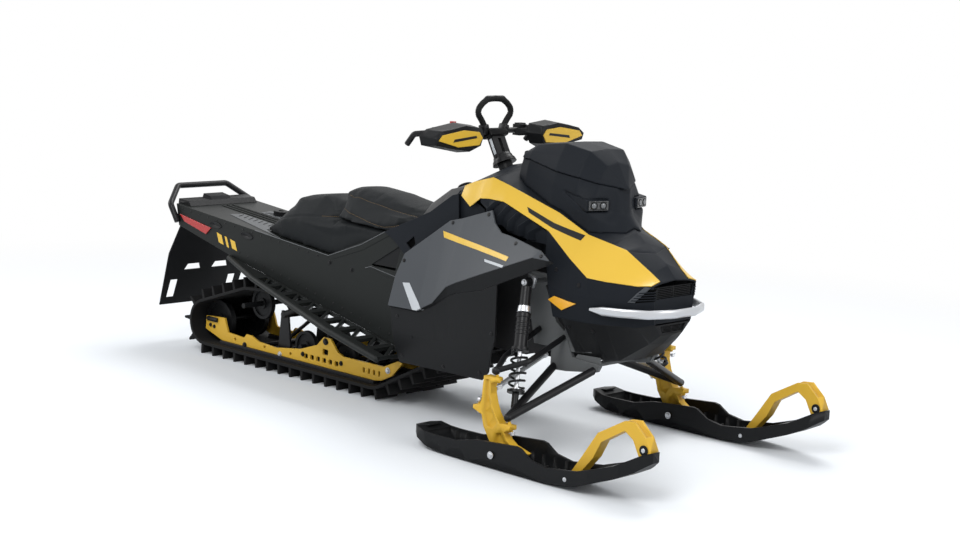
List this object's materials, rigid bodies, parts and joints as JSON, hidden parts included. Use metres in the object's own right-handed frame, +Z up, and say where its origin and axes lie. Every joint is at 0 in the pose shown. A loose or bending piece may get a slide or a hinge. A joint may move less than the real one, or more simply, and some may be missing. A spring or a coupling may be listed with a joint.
{
  "type": "snowmobile",
  "caption": "Mountain snowmobile with lugged track, sloping running boards, stitched seat, faceted hood, long-travel front suspension and steerable skis with tip loops.",
  "frame": {"origin": "on the ground at the centre of the machine's length and width", "axes": "+X forward, +Y to the machine's left, +Z up"},
  "size_m": [3.048, 1.13, 1.2243],
  "materials": {
    "amber_lens": "gloss",
    "bare_aluminium": "brushed",
    "black_plastic": "matt",
    "black_steel": "satin",
    "cast_aluminium": "cast",
    "charcoal_plastic": "satin",
    "dark_aluminium": "satin",
    "engine_grey": "cast",
    "grey_plastic": "satin",
    "lamp_lens": "clear",
    "red_lens": "gloss",
    "seat_cover": "matt",
    "slide_plastic": "waxy",
    "track_rubber": "matt",
    "yellow_metal": "satin",
    "yellow_plastic": "gloss"
  },
  "bodies": {
    "chassis": {"belly_pan": "black_plastic", "cargo_anchor": "black_plastic", "console": "black_plastic", "drive_axle": "black_steel", "engine_block": "engine_grey", "front_bumper": "bare_aluminium", "front_frame": "cast_aluminium", "fuel_tank": "black_plastic", "gauge": "black_plastic", "gauge_pod": "charcoal_plastic", "grab_bar": "black_steel", "headlamps": "lamp_lens", "hood": "charcoal_plastic", "hood_bands": "yellow_plastic", "idlers": "black_plastic", "louvres": "black_plastic", "lower_arms": "black_steel", "lower_grille": "black_plastic", "lower_panels": "black_plastic", "nose_accents": "grey_plastic", "nose_cowl": "charcoal_plastic", "nose_panel": "charcoal_plastic", "panel_bevels": "black_plastic", "rails": "yellow_metal", "rear_idlers": "black_plastic", "reflectors": "amber_lens", "running_boards": "dark_aluminium", "seat_driver": "seat_cover", "seat_rear": "seat_cover", "shocks": "black_steel", "side_panels": "grey_plastic", "skid_front_arm": "black_steel", "skid_rear_arm": "black_steel", "skid_shocks": "black_steel", "slide_strips": "slide_plastic", "snow_flap": "black_plastic", "springs": "black_steel", "steering_bearing": "black_plastic", "tail_cap": "black_plastic", "tail_lamps": "red_lens", "track": "track_rubber", "tunnel": "dark_aluminium", "upper_arms": "black_steel", "upper_grille": "black_plastic", "visor": "charcoal_plastic"},
    "steering": {"handlebar": "black_steel", "riser": "black_steel", "strap_loop": "black_plastic", "hand_guards": "black_plastic", "guard_inserts": "yellow_plastic", "controls": "black_plastic", "grips": "black_plastic"},
    "spindle_right": {"spindle_right": "yellow_metal"},
    "spindle_left": {"spindle_left": "yellow_metal"},
    "tie_rod_right": {"tie_rod_right": "bare_aluminium"},
    "tie_rod_left": {"tie_rod_left": "bare_aluminium"},
    "ski_right": {"ski_right": "black_plastic", "ski_loop_right": "yellow_metal"},
    "ski_left": {"ski_left": "black_plastic", "ski_loop_left": "yellow_metal"}
  },
  "joints": [
    {"name": "steering", "type": "hinge", "parent": "chassis", "child": "steering", "pos_m": [0.35, 0, 0.985], "axis": [-0.4829, 0, 0.8757], "range_deg": [-32, 32]},
    {"name": "kingpin_right", "type": "hinge", "parent": "chassis", "child": "spindle_right", "pos_m": [0.872, -0.48, 0.168], "axis": [-0.4033, 0.012, 0.915], "range_deg": [-26, 26]},
    {"name": "tie_rod_end_right", "type": "hinge", "parent": "spindle_right", "child": "tie_rod_right", "pos_m": [0.735, -0.48, 0.206], "axis": [-0.4033, 0.012, 0.915], "range_deg": [-26, 26]},
    {"name": "ski_pivot_right", "type": "hinge", "parent": "spindle_right", "child": "ski_right", "pos_m": [0.876, -0.487, 0.05], "axis": [0, 1, 0], "range_deg": [-8, 8], "stiffness_Nm_per_rad": 60},
    {"name": "kingpin_left", "type": "hinge", "parent": "chassis", "child": "spindle_left", "pos_m": [0.872, 0.48, 0.168], "axis": [-0.4033, -0.012, 0.915], "range_deg": [-26, 26]},
    {"name": "tie_rod_end_left", "type": "hinge", "parent": "spindle_left", "child": "tie_rod_left", "pos_m": [0.735, 0.48, 0.206], "axis": [-0.4033, -0.012, 0.915], "range_deg": [-26, 26]},
    {"name": "ski_pivot_left", "type": "hinge", "parent": "spindle_left", "child": "ski_left", "pos_m": [0.876, 0.487, 0.05], "axis": [0, 1, 0], "range_deg": [-8, 8], "stiffness_Nm_per_rad": 60}
  ],
  "couplings": [
    {"joint": "kingpin_right", "follows": "steering", "ratio": 0.8},
    {"joint": "tie_rod_end_right", "follows": "steering", "ratio": -0.8},
    {"joint": "kingpin_left", "follows": "steering", "ratio": 0.8},
    {"joint": "tie_rod_end_left", "follows": "steering", "ratio": -0.8}
  ]
}
